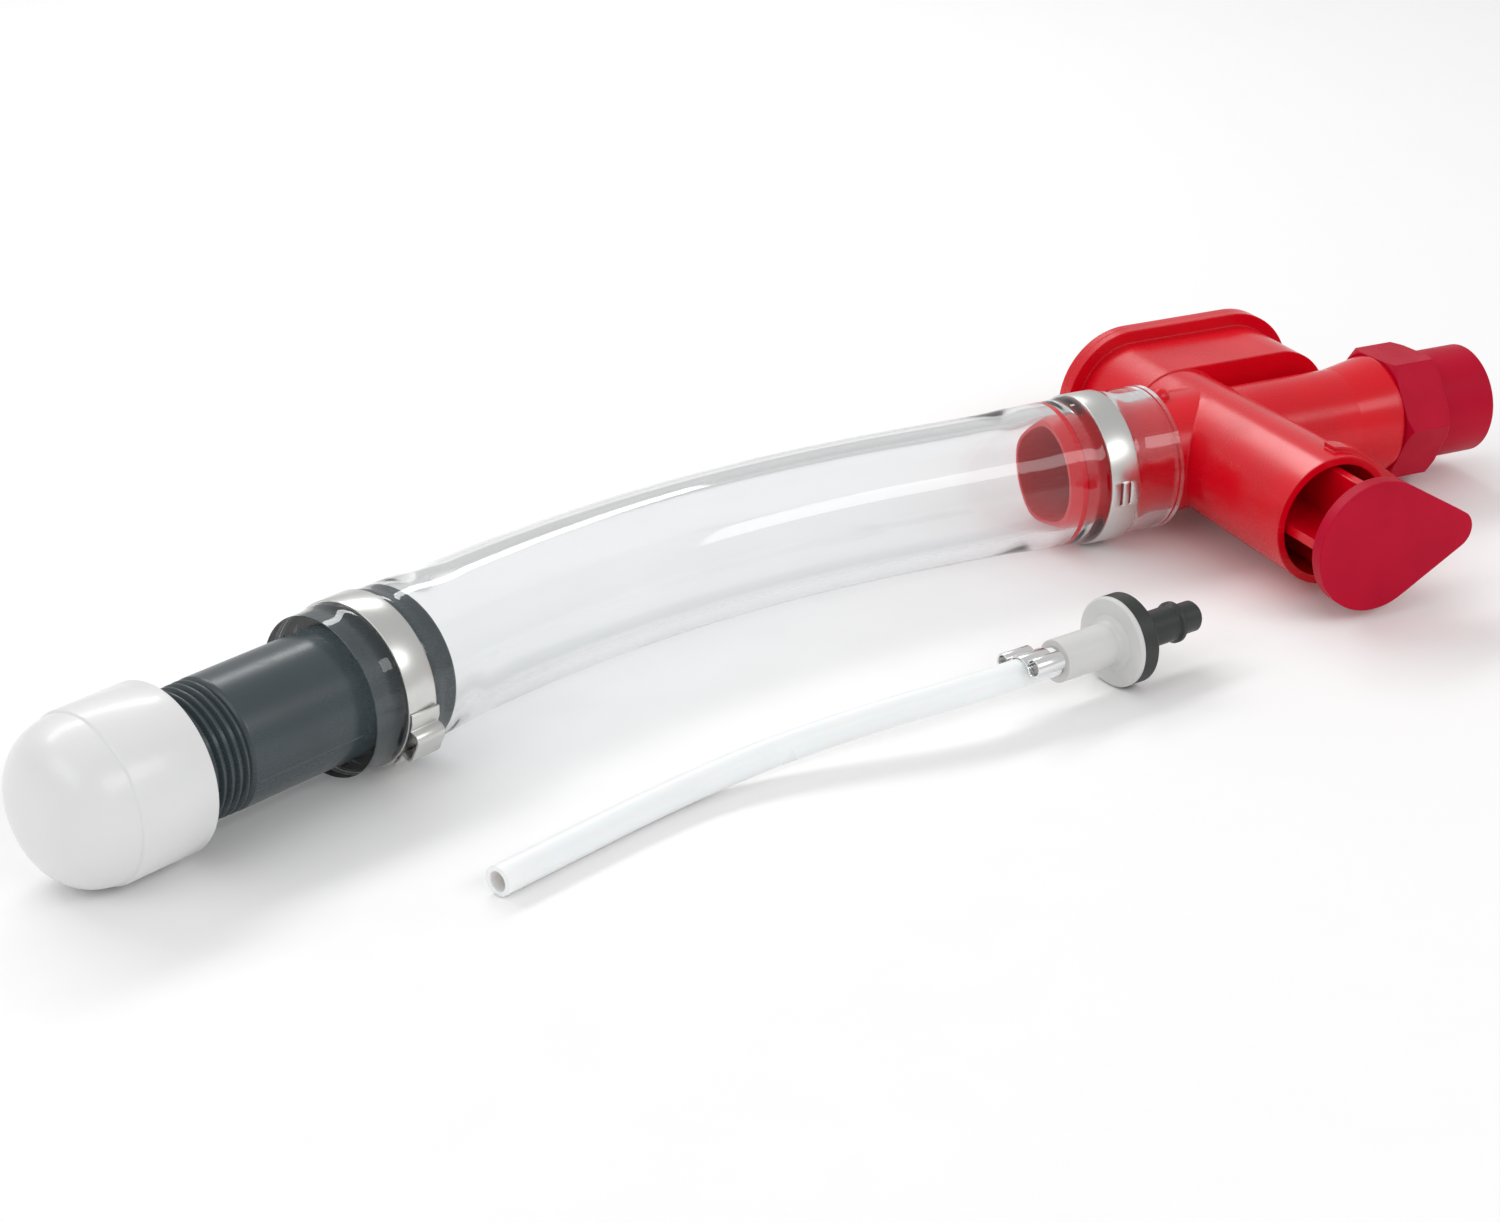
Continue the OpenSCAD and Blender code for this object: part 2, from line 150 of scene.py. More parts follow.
def edit(piece):
    """Makes piece the only selected object and opens it in edit mode, all selected."""
    select_nothing()
    bpy.context.view_layer.objects.active = piece
    piece.select_set(True)
    bpy.ops.object.mode_set(mode="EDIT")
    bpy.ops.mesh.select_all(action="SELECT")


def new_piece(name):
    """Names the object that was just added and opens it in edit mode, all selected."""
    piece = bpy.context.active_object
    piece.name = piece.data.name = name
    bpy.ops.object.mode_set(mode="EDIT")
    bpy.ops.mesh.select_all(action="SELECT")
    return piece


def settle(piece, place=None):
    """Closes edit mode, puts piece at its place and applies it, so that the object ends at the
    origin, unturned and unscaled."""
    select_nothing()
    bpy.context.view_layer.objects.active = piece
    piece.select_set(True)
    if place is not None:
        piece.matrix_world = place @ piece.matrix_world
    bpy.ops.object.transform_apply(location=True, rotation=True, scale=True)


def add_modifier(piece, kind, **values):
    """Adds a modifier with these values and applies it."""
    select_nothing()
    bpy.context.view_layer.objects.active = piece
    piece.select_set(True)
    modifier = piece.modifiers.new(kind.title(), kind)
    for key, value in values.items():
        setattr(modifier, key, value)
    bpy.ops.object.modifier_apply(modifier=modifier.name)


def soften(piece, width, angle):
    """Rounds the edges that are sharper than angle."""
    add_modifier(piece, "BEVEL", width=width * MM, segments=2, limit_method="ANGLE",
                 angle_limit=math.radians(angle), harden_normals=False)


def shade(piece, angle):
    """Smooth shading, with the edges that are sharper than angle left sharp."""
    select_nothing()
    bpy.context.view_layer.objects.active = piece
    piece.select_set(True)
    bpy.ops.object.shade_smooth_by_angle(angle=math.radians(angle))


def turn(name, outline, place, closed=True, sides=96):
    """A ring that is drawn out along +Z through the outline's (radius, height) points in
    millimetres. A closed outline ends where it starts, and an open one gets a lid at each end."""
    select_nothing()
    radius, height = outline[0]
    bpy.ops.mesh.primitive_circle_add(vertices=sides, radius=radius * MM)
    piece = new_piece(name)
    bpy.ops.transform.translate(value=(0, 0, height * MM))
    for next_radius, next_height in outline[1:] + (outline[:1] if closed else []):
        bpy.ops.mesh.extrude_edges_move(
            TRANSFORM_OT_translate={"value": (0, 0, (next_height - height) * MM)})
        grow = next_radius / radius
        bpy.ops.transform.resize(value=(grow, grow, 1),
                                 center_override=(0, 0, next_height * MM))
        radius, height = next_radius, next_height
    bpy.ops.mesh.select_all(action="SELECT")
    bpy.ops.mesh.remove_doubles(threshold=0.002 * MM)
    if not closed:
        bpy.ops.mesh.fill_holes(sides=0)
    bpy.ops.mesh.normals_make_consistent(inside=False)
    settle(piece, place)
    return piece


def bent_strip(name, outline, width, thickness, place):
    """A strip of sheet metal: an edge that runs width along +X is drawn out through the
    outline's (y, z) points in millimetres and given its thickness."""
    select_nothing()
    bpy.ops.mesh.primitive_plane_add(size=1)
    piece = new_piece(name)
    # Only the plane's edge at y -0.5 is kept
    bpy.ops.mesh.select_all(action="DESELECT")
    bpy.ops.object.mode_set(mode="OBJECT")
    for vertex in piece.data.vertices:
        vertex.select = vertex.co.y > 0
    bpy.ops.object.mode_set(mode="EDIT")
    bpy.ops.mesh.delete(type="VERT")
    bpy.ops.mesh.select_all(action="SELECT")
    y, z = outline[0]
    bpy.ops.transform.translate(value=(0.5, 0.5 + y * MM, z * MM))
    bpy.ops.transform.resize(value=(width * MM, 1, 1), center_override=(0, 0, 0))
    for next_y, next_z in outline[1:]:
        bpy.ops.mesh.extrude_edges_move(
            TRANSFORM_OT_translate={"value": (0, (next_y - y) * MM, (next_z - z) * MM)})
        y, z = next_y, next_z
    bpy.ops.mesh.select_all(action="SELECT")
    bpy.ops.mesh.normals_make_consistent(inside=False)
    settle(piece)
    add_modifier(piece, "SOLIDIFY", thickness=thickness * MM, offset=1)
    settle(piece, place)
    return piece


def box(name, size, place):
    """A box of this size in millimetres."""
    select_nothing()
    bpy.ops.mesh.primitive_cube_add(size=1)
    piece = new_piece(name)
    bpy.ops.transform.resize(value=[side * MM for side in size], center_override=(0, 0, 0))
    settle(piece, place)
    return piece


def joined(name, pieces):
    """Joins pieces into one object."""
    select_nothing()
    for piece in pieces:
        piece.select_set(True)
    bpy.context.view_layer.objects.active = pieces[0]
    bpy.ops.object.join()
    whole = bpy.context.active_object
    whole.name = whole.data.name = name
    return whole


def arc(centre, radius, start, end, steps):
    """Points on an arc in the outline's plane, with the angles in degrees."""
    return [(centre[0] + radius * math.cos(math.radians(start + (end - start) * i / steps)),
             centre[1] + radius * math.sin(math.radians(start + (end - start) * i / steps)))
            for i in range(steps + 1)]


# ---- Shader node groups --------------------------------------------------------------------

def new_group(name, inputs, outputs):
    """A shader node group with (name, default) float inputs and (name, socket type) outputs."""
    group = bpy.data.node_groups.new(name, "ShaderNodeTree")
    for socket, default in inputs:
        made = group.interface.new_socket(socket, in_out="INPUT", socket_type="NodeSocketFloat")
        made.default_value = default
    for socket, kind in outputs:
        group.interface.new_socket(socket, in_out="OUTPUT", socket_type=kind)
    return group, group.nodes.new("NodeGroupInput"), group.nodes.new("NodeGroupOutput")


def grain_group():
    """Fine moulding grain over broad, faint unevenness, in Object coordinates."""
    group, given, made = new_group(
        "fine_grain", [("Fine Scale", 2500.0), ("Broad Scale", 60.0)],
        [("Fine", "NodeSocketFloat"), ("Broad", "NodeSocketFloat")])
    where = group.nodes.new("ShaderNodeTexCoord")
    for place, output in (("Fine Scale", "Fine"), ("Broad Scale", "Broad")):
        noise = group.nodes.new("ShaderNodeTexNoise")
        noise.inputs["Detail"].default_value = 3.0
        group.links.new(where.outputs["Object"], noise.inputs["Vector"])
        group.links.new(given.outputs[place], noise.inputs["Scale"])
        group.links.new(noise.outputs["Fac"], made.inputs[output])
    return group


def edge_group():
    """Softly rounded edges and a mask of where they are, for the painted highlight along them."""
    group, given, made = new_group(
        "soft_edges", [("Radius", 0.0004), ("Reach", 3.0)],
        [("Normal", "NodeSocketVector"), ("Edge", "NodeSocketFloat")])
    bevel = group.nodes.new("ShaderNodeBevel")
    bevel.samples = 6
    geometry = group.nodes.new("ShaderNodeNewGeometry")
    dot = group.nodes.new("ShaderNodeVectorMath")
    dot.operation = "DOT_PRODUCT"
    away = group.nodes.new("ShaderNodeMath")
    away.operation = "SUBTRACT"
    away.inputs[0].default_value = 1.0
    spread = group.nodes.new("ShaderNodeMath")
    spread.operation = "MULTIPLY"
    spread.use_clamp = True
    link = group.links.new
    link(given.outputs["Radius"], bevel.inputs["Radius"])
    link(bevel.outputs["Normal"], dot.inputs[0])
    link(geometry.outputs["Normal"], dot.inputs[1])
    link(dot.outputs["Value"], away.inputs[1])
    link(away.outputs["Value"], spread.inputs[0])
    link(given.outputs["Reach"], spread.inputs[1])
    link(bevel.outputs["Normal"], made.inputs["Normal"])
    link(spread.outputs["Value"], made.inputs["Edge"])
    return group


def scuff_group():
    """Sparse fine scratches that run in mixed directions, as a mask from 0 to 1."""
    group, given, made = new_group(
        "scuffs", [("Scale", 220.0), ("Threshold", 0.62)], [("Mask", "NodeSocketFloat")])
    where = group.nodes.new("ShaderNodeTexCoord")
    masks = []
    for turned in (0.6, 2.1):
        mapping = group.nodes.new("ShaderNodeMapping")
        mapping.inputs["Rotation"].default_value = (turned, turned * 0.7, turned * 1.3)
        mapping.inputs["Scale"].default_value = (1.0, 14.0, 14.0)
        noise = group.nodes.new("ShaderNodeTexNoise")
        noise.inputs["Detail"].default_value = 1.0
        cut = group.nodes.new("ShaderNodeMapRange")
        cut.inputs["From Max"].default_value = 0.80
        group.links.new(where.outputs["Object"], mapping.inputs["Vector"])
        group.links.new(mapping.outputs["Vector"], noise.inputs["Vector"])
        group.links.new(given.outputs["Scale"], noise.inputs["Scale"])
        group.links.new(noise.outputs["Fac"], cut.inputs["Value"])
        group.links.new(given.outputs["Threshold"], cut.inputs["From Min"])
        masks.append(cut)
    both = group.nodes.new("ShaderNodeMath")
    both.operation = "MAXIMUM"
    group.links.new(masks[0].outputs["Result"], both.inputs[0])
    group.links.new(masks[1].outputs["Result"], both.inputs[1])
    group.links.new(both.outputs["Value"], made.inputs["Mask"])
    return group


GROUPS = {}


def placed_group(tree, name, **values):
    """Places one of the shared node groups in a material, with its own values."""
    if name not in GROUPS:
        GROUPS[name] = {"fine_grain": grain_group, "soft_edges": edge_group,
                        "scuffs": scuff_group}[name]()
    node = tree.nodes.new("ShaderNodeGroup")
    node.node_tree = GROUPS[name]
    for key, value in values.items():
        node.inputs[key.replace("_", " ")].default_value = value
    return node


def mixed(tree, factor, low, high):
    """A colour between low and high, by a factor that changes over the surface."""
    mix = tree.nodes.new("ShaderNodeMix")
    mix.data_type = "RGBA"
    tree.links.new(factor, mix.inputs["Factor"])
    for socket, value in ((mix.inputs[6], low), (mix.inputs[7], high)):
        if hasattr(value, "is_linked"):
            tree.links.new(value, socket)
        else:
            socket.default_value = (*value, 1.0)
    return mix.outputs[2]


def ranged(tree, value, low, high, start=0.0, end=1.0):
    """Maps a value that changes over the surface from start..end to low..high."""
    node = tree.nodes.new("ShaderNodeMapRange")
    for socket, number in (("From Min", start), ("From Max", end), ("To Min", low),
                           ("To Max", high)):
        node.inputs[socket].default_value = number
    tree.links.new(value, node.inputs["Value"])
    return node.outputs["Result"]


def finish_of(name, colour, rough, shade_colour=None, edge_highlight_colour=None, edge_radius=0.35,
              fine=2500.0, grain=0.06, uneven=0.0, scuffs=0.0, metallic=0.0, coat=0.0,
              ior=1.5, specular=0.5, subsurface=0.0):
    """A solid finish: a colour that drifts a little over the surface, softly rounded edges in a
    lighter colour that is a painted highlight, fine grain in its bump, and uneven roughness with
    faint scuffs."""
    material = bpy.data.materials.new(name)
    material.use_nodes = True
    tree = material.node_tree
    shader = tree.nodes["Principled BSDF"]
    link = tree.links.new
    grain_node = placed_group(tree, "fine_grain", Fine_Scale=fine)
    edges = placed_group(tree, "soft_edges", Radius=edge_radius * MM)
    body = mixed(tree, ranged(tree, grain_node.outputs["Broad"], 0, 1, 0.35, 0.65), colour,
                 shade_colour or tuple(c * 0.88 for c in colour))
    # The edges are painted lighter than the body: a painted highlight along them.
    body = mixed(tree, edges.outputs["Edge"], body,
                 edge_highlight_colour or tuple(min(1, c * 1.15 + 0.015) for c in colour))
    link(body, shader.inputs["Base Color"])
    roughness = ranged(tree, grain_node.outputs["Broad"], rough * 0.82, rough * 1.2, 0.3, 0.7)
    if scuffs:
        marks = placed_group(tree, "scuffs")
        add = tree.nodes.new("ShaderNodeMath")
        add.operation = "MULTIPLY_ADD"
        add.inputs[1].default_value = scuffs
        add.use_clamp = True
        link(marks.outputs["Mask"], add.inputs[0])
        link(roughness, add.inputs[2])
        roughness = add.outputs["Value"]
    link(roughness, shader.inputs["Roughness"])
    height = tree.nodes.new("ShaderNodeMath")
    height.operation = "MULTIPLY_ADD"
    height.inputs[1].default_value = uneven
    link(grain_node.outputs["Broad"], height.inputs[0])
    link(grain_node.outputs["Fine"], height.inputs[2])
    bump = tree.nodes.new("ShaderNodeBump")
    bump.inputs["Strength"].default_value = grain
    bump.inputs["Distance"].default_value = 0.1 * MM
    link(height.outputs["Value"], bump.inputs["Height"])
    link(edges.outputs["Normal"], bump.inputs["Normal"])
    link(bump.outputs["Normal"], shader.inputs["Normal"])
    shader.inputs["Metallic"].default_value = metallic
    shader.inputs["IOR"].default_value = ior
    shader.inputs["Specular IOR Level"].default_value = specular
    shader.inputs["Coat Weight"].default_value = coat
    shader.inputs["Coat Roughness"].default_value = 0.12
    if subsurface:
        shader.inputs["Subsurface Weight"].default_value = subsurface
        shader.inputs["Subsurface Radius"].default_value = (1.0, 0.6, 0.5)
        shader.inputs["Subsurface Scale"].default_value = 2.0 * MM
    return material


def clear_finish(name, colour, rough, ior, let_through):
    """A clear or milky plastic that lets lamps shine through it. let_through is the colour of
    the light that passes."""
    material = bpy.data.materials.new(name)
    material.use_nodes = True
    tree = material.node_tree
    shader = tree.nodes["Principled BSDF"]
    link = tree.links.new
    grain_node = placed_group(tree, "fine_grain", Fine_Scale=900.0, Broad_Scale=35.0)
    body = mixed(tree, grain_node.outputs["Broad"], colour, tuple(c * 0.97 for c in colour))
    link(body, shader.inputs["Base Color"])
    link(ranged(tree, grain_node.outputs["Broad"], rough * 0.6, rough * 1.5, 0.3, 0.7),
         shader.inputs["Roughness"])
    bump = tree.nodes.new("ShaderNodeBump")
    bump.inputs["Strength"].default_value = 0.05
    bump.inputs["Distance"].default_value = 0.6 * MM
    link(grain_node.outputs["Broad"], bump.inputs["Height"])
    link(bump.outputs["Normal"], shader.inputs["Normal"])
    shader.inputs["IOR"].default_value = ior
    shader.inputs["Transmission Weight"].default_value = 1.0
    through = tree.nodes.new("ShaderNodeBsdfTransparent")
    through.inputs["Color"].default_value = (*let_through, 1)
    path = tree.nodes.new("ShaderNodeLightPath")
    either = tree.nodes.new("ShaderNodeMixShader")
    link(path.outputs["Is Shadow Ray"], either.inputs["Fac"])
    link(shader.outputs["BSDF"], either.inputs[1])
    link(through.outputs["BSDF"], either.inputs[2])
    link(either.outputs["Shader"], tree.nodes["Material Output"].inputs["Surface"])
    return material


def wear(piece, material):
    """Gives a piece or CAD node its one material."""
    piece.data.materials.clear()
    piece.data.materials.append(material)


# ---- Operators -----------------------------------------------------------------------------

class SIPHON_OT_studio(bpy.types.Operator):
    """Pale floor, soft lights, surround and camera"""
    bl_idname = "siphon.studio"
    bl_label = "Studio"

    def execute(self, context):
        settings = context.scene.siphon_studio
        select_nothing()
        gap = 0.05 * MM
        bpy.ops.mesh.primitive_plane_add(size=6, location=(0, 0, FLOOR_Z * MM - gap))
        floor = bpy.context.active_object
        floor.name = floor.data.name = "floor"
        wear(floor, finish_of("pale_floor", (0.93, 0.93, 0.93), 0.75, (0.92, 0.92, 0.92),
                              (0.93, 0.93, 0.93), grain=0.01))

        def softbox(name, place, aim, size, power):
            bpy.ops.object.light_add(type="AREA", location=place)
            lamp = bpy.context.active_object
            lamp.name = lamp.data.name = name
            lamp.rotation_euler = (Vector(aim) - Vector(place)).to_track_quat(
                "-Z", "Y").to_euler()
            lamp.data.shape = "RECTANGLE"
            lamp.data.size, lamp.data.size_y = size
            lamp.data.energy = power
            lamp.visible_transmission = False

        middle = (-0.15, -0.02, 0)
        softbox("back_softbox", (-0.30, 0.55, 0.62), middle, (1.1, 0.16), settings.back_light)
        softbox("front_softbox", (0.15, -0.75, 0.62), middle, (0.9, 0.28), settings.front_light)
        softbox("side_softbox", (-1.0, -0.25, 0.55), middle, (0.7, 0.4),
                settings.front_light * 0.5)

        world = bpy.data.worlds.new("pale_surround")
        world.use_nodes = True
        sky = world.node_tree.nodes["Background"]
        sky.inputs["Color"].default_value = (1.0, 1.0, 1.0, 1)
        sky.inputs["Strength"].default_value = settings.sky
        context.scene.world = world
        context.scene.view_settings.view_transform = "Standard"

        camera_at = (-0.43091, -0.53642, 0.25323)
        facing = Vector((0.39215, 0.82018, -0.41657))
        bpy.ops.object.camera_add(location=camera_at)
        camera = bpy.context.active_object
        camera.name = camera.data.name = "camera"
        camera.data.sensor_width = 36
        camera.data.lens = 72
        camera.rotation_euler = facing.to_track_quat("-Z", "Y").to_euler()
        context.scene.camera = camera
        return {"FINISHED"}


class SIPHON_OT_air_tube(bpy.types.Operator):
    """The small flexible tube, which is a free cord"""
    bl_idname = "siphon.air_tube"
    bl_label = "Small tube"

    def execute(self, context):
        select_nothing()
        route = [Vector(p) * MM for p in TUBE_ROUTE]
        bpy.ops.curve.primitive_nurbs_path_add()
        piece = bpy.context.active_object
        piece.name = piece.data.name = "air_line"
        curve = piece.data
        curve.splines.clear()
        spline = curve.splines.new("BEZIER")
        spline.bezier_points.add(len(route) - 1)
        for point, place in zip(spline.bezier_points, route):
            point.co = place
            point.handle_left_type = point.handle_right_type = "AUTO"
        spline.resolution_u = 8
        curve.dimensions = "3D"
        curve.bevel_depth = TUBE_R * MM
        curve.bevel_resolution = 9
        select_nothing()
        piece.select_set(True)
        bpy.context.view_layer.objects.active = piece
        bpy.ops.object.convert(target="MESH")
        edit(piece)
        bpy.ops.mesh.remove_doubles(threshold=0.01 * MM)
        bpy.ops.mesh.normals_make_consistent(inside=False)
        settle(piece)
        add_modifier(piece, "SOLIDIFY", thickness=TUBE_WALL * MM, offset=-1,
                     use_even_offset=True)
        shade(piece, 60)
        # The lighter edge colour is a painted highlight along the tube's edges.
        wear(piece, finish_of("milky_tube", (0.93, 0.93, 0.93), 0.32, (0.90, 0.90, 0.90),
                              (0.96, 0.96, 0.96), grain=0.01, ior=1.42, subsurface=0.5))
        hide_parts("air_tube")
        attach(piece, "air_line")
        return {"FINISHED"}


class SIPHON_OT_spring_clip(bpy.types.Operator):
    """The plated spring clip over the small tube, with a rolled ear at each side"""
    bl_idname = "siphon.spring_clip"
    bl_label = "Spring clip"

    def execute(self, context):
        strap_r, ear_r, sheet, length = 3.35, 1.55, 0.4, 7.0
        clip_start, lean = -24.5, math.radians(-14)
        # One half of the outline: flat over the tube, down its side, out and round the ear
        half = [(0.0, strap_r + 0.15), (1.2, strap_r + 0.05), (1.5, strap_r - 0.1)]
        half += [(2.7, 2.1), (3.05, 1.5), (3.2, 0.6), (3.45, 0.15), (3.9, 0.0), (4.6, 0.0)]
        half += arc((4.7, ear_r), ear_r, -90, 150, 16)[1:]
        outline = [(-y, z) for y, z in reversed(half[1:])] + half
        place = (ON_VALVE @ Matrix.Translation((clip_start * MM, 0, 0))
                 @ Matrix.Rotation(lean, 4, "X"))
        piece = bent_strip("spring_clip", outline, length, sheet, place)
        soften(piece, 0.12, 60)
        shade(piece, 32)
        # The lighter edge colour is a painted highlight along the clip's edges.
        wear(piece, finish_of("plated_spring", (0.86, 0.86, 0.85), 0.20, (0.82, 0.82, 0.82),
                              (0.95, 0.95, 0.95), metallic=1.0, grain=0.01, scuffs=0.08))
        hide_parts("tube_clip")
        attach(piece, "air_line")
        return {"FINISHED"}


class SIPHON_OT_clear_hose(bpy.types.Operator):
    """The clear hose, stretched over the tap's spigot and the nipple"""
    bl_idname = "siphon.clear_hose"
    bl_label = "Clear hose"

    def outside(self, s, bulge, half_band):
        """Outside radius at s millimetres from the tap: stretched over the fittings, pressed in
        under each clamp's band and bulging at both sides of it."""
        end = HOSE_LENGTH - s
        swell = max(self.ease(s, SPIGOT_IN_HOSE + 2.5, SPIGOT_IN_HOSE + 14.5),
                    self.ease(end, NIPPLE_IN_HOSE + 1, NIPPLE_IN_HOSE + 14))
        radius = FREE_R + (STRETCHED_R - FREE_R) * swell
        pressed = bulge * 5 / 7
        edge, crest_at, spread = 0.6, 0.9, 1.4
        for middle in (TAP_CLAMP_MIDDLE, HOSE_LENGTH - NIPPLE_CLAMP_MIDDLE):
            off = abs(s - middle) - half_band
            if off < -edge:
                radius -= pressed
            else:
                radius += bulge * math.exp(-((off - crest_at) / spread) ** 2)
        return radius

    def bore(self, s):
        """Bore radius at s millimetres from the tap."""
        end = HOSE_LENGTH - s
        on_spigot = self.ease(s, SPIGOT_IN_HOSE + 0.1, SPIGOT_IN_HOSE + 8.5)
        on_nipple = self.ease(end, NIPPLE_IN_HOSE + 0.6, NIPPLE_IN_HOSE + 8)
        return (FREE_BORE_R + (BORE_ON_SPIGOT_R - FREE_BORE_R) * on_spigot
                + (BORE_ON_NIPPLE_R - FREE_BORE_R) * on_nipple)

    @staticmethod
    def ease(s, full, none):
        """1 up to full, 0 past none and smooth between."""
        t = min(1.0, max(0.0, (none - s) / (none - full)))
        return t * t * (3 - 2 * t)

    def execute(self, context):
        settings = context.scene.siphon_hose
        bulge = settings.bulge / MM
        half_band = context.scene.siphon_clamps.band_width / MM / 2
        # Rings stand close together over the fittings and further apart along the free hose
        chamfer, rim, fine_step, coarse_step, fitted = 0.12, 0.6, 0.7, 4.0, 44.0
        stops = [0.0, chamfer, rim]
        while stops[-1] < fitted:
            stops.append(stops[-1] + fine_step)
        while stops[-1] < HOSE_LENGTH - fitted:
            stops.append(stops[-1] + coarse_step)
        while stops[-1] < HOSE_LENGTH - rim - fine_step:
            stops.append(stops[-1] + fine_step)
        stops += [HOSE_LENGTH - rim, HOSE_LENGTH - chamfer, HOSE_LENGTH]

        def station(s):
            """Centre and turn of the hose at s millimetres from the tap."""
            if s <= TAP_STRAIGHT:
                return Vector((HOSE_STOP_X - s, 0, 0)), 0.0
            if s <= TAP_STRAIGHT + BEND_LENGTH:
                a = (s - TAP_STRAIGHT) / BEND_RADIUS
                return Vector((BEND_X - BEND_RADIUS * math.sin(a),
                               -BEND_RADIUS * (1 - math.cos(a)), 0)), a
            return BEND_END + (s - TAP_STRAIGHT - BEND_LENGTH) * TOWARDS_CAP, BEND_ANGLE

        # Out along the outside, back along the bore, and closed where it started
        rings = [(s, self.outside(s, bulge, half_band)
                  - (chamfer if s in (stops[0], stops[-1]) else 0)) for s in stops]
        rings += [(s, self.bore(s)) for s in reversed(stops)] + rings[:1]
        select_nothing()
        centre, turned = station(0)
        radius = rings[0][1]
        bpy.ops.mesh.primitive_circle_add(vertices=96, radius=radius * MM, location=centre * MM,
                                          rotation=(0, math.radians(90), turned))
        piece = new_piece("clear_hose")
        for s, next_radius in rings[1:]:
            to, now = station(s)
            bpy.ops.mesh.extrude_edges_move(
                TRANSFORM_OT_translate={"value": (to - centre) * MM})
            grow = next_radius / radius
            bpy.ops.transform.resize(value=(grow, grow, grow), center_override=to * MM)
            if abs(now - turned) > 1e-6:
                bpy.ops.transform.rotate(value=turned - now, orient_axis="Z",
                                         center_override=to * MM)
            centre, turned, radius = to, now, next_radius
        bpy.ops.mesh.select_all(action="SELECT")
        bpy.ops.mesh.remove_doubles(threshold=0.01 * MM)
        bpy.ops.mesh.normals_make_consistent(inside=False)
        settle(piece)
        shade(piece, 30)
        wear(piece, clear_finish("clear_hose", tuple(settings.clear_colour), 0.04, 1.5,
                                 (0.80, 0.81, 0.82)))
        piece.visible_diffuse = False
        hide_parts("hose")
        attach(piece, "siphon")
        return {"FINISHED"}


class SIPHON_OT_hose_clamps(bpy.types.Operator):
    """The two stainless ear clamps"""
    bl_idname = "siphon.hose_clamps"
    bl_label = "Hose clamps"

    def clamp(self, name, place, settings, ear_turn, hook_turn):
        """One clamp about +X: its band with a hook in its window, the band's overlap and its
        ear. place is at the band's middle, and the turns are in degrees about +X."""
        width, thick = settings.band_width / MM, settings.band_thick / MM
        place = place @ Matrix.Translation((-0.5 * width * MM, 0, 0))
        inner = STRETCHED_R + 0.03
        outer = inner + thick
        band = turn("band", [(inner, 0), (outer, 0), (outer, width), (inner, width)],
                    place @ Z_TO_X, sides=128)
        at_hook = (place @ Matrix.Rotation(math.radians(hook_turn), 4, "X")
                   @ Matrix.Translation((0.5 * width * MM, 0, (inner + 0.5 * thick) * MM)))
        window = box("window", (2.6, 5.2, 3.0), at_hook)
        add_modifier(band, "BOOLEAN", object=window, operation="DIFFERENCE", solver="EXACT")
        bpy.data.objects.remove(window)
        hook = box("hook", (1.5, 5.6, thick + 0.3), at_hook)
        turned = place @ Matrix.Rotation(math.radians(ear_turn), 4, "X")
        top, waist, shoulder = inner + 3.4, 3.6, 1.75
        # The ear's outline: along the band, up its side, over the top and down again
        rise = ([(-6.5, outer - 1.15), (-4.6, outer - 0.35)]
                + arc((-waist, outer + 0.6), 0.9, -75, -5, 3)
                + arc((-shoulder, top - 1.4), 1.1, 175, 90, 4)
                + arc((shoulder, top - 1.4), 1.1, 90, 5, 4)
                + arc((waist, outer + 0.6), 0.9, 185, 255, 3)
                + [(4.6, outer - 0.35), (6.5, outer - 1.15)])
        ear = bent_strip("ear", rise, width, thick, turned)
        narrower, lap_thick = 1.0, 0.3
        over = arc((0, 0), outer - 0.25, 76, 18, 14)
        lap = bent_strip("overlap", over, width - narrower, lap_thick,
                         turned @ Matrix.Translation((0.5 * narrower * MM, 0, 0)))
        whole = joined(name, [band, hook, ear, lap])
        soften(whole, 0.14, 50)
        shade(whole, 35)
        wear(whole, self.steel)
        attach(whole, "siphon")
        return whole

    def execute(self, context):
        settings = context.scene.siphon_clamps
        # The lighter edge colour is a painted highlight along the band's edges.
        self.steel = finish_of("stainless_band", (0.70, 0.70, 0.68), 0.30, (0.65, 0.65, 0.63),
                               (0.85, 0.85, 0.83), metallic=1.0, grain=0.006, scuffs=0.05)
        by_nipple = AT_HOSE_END @ Matrix.Translation((-NIPPLE_CLAMP_MIDDLE * MM, 0, 0))
        near = self.clamp("nipple_clamp", by_nipple, settings, ear_turn=-115, hook_turn=60)
        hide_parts("nipple_hose_clamp")
        by_tap = Matrix.Translation(((HOSE_STOP_X - TAP_CLAMP_MIDDLE) * MM, 0, 0))
        far = self.clamp("tap_clamp", by_tap, settings, ear_turn=-120, hook_turn=91)
        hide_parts("tap_hose_clamp")
        return {"FINISHED"}


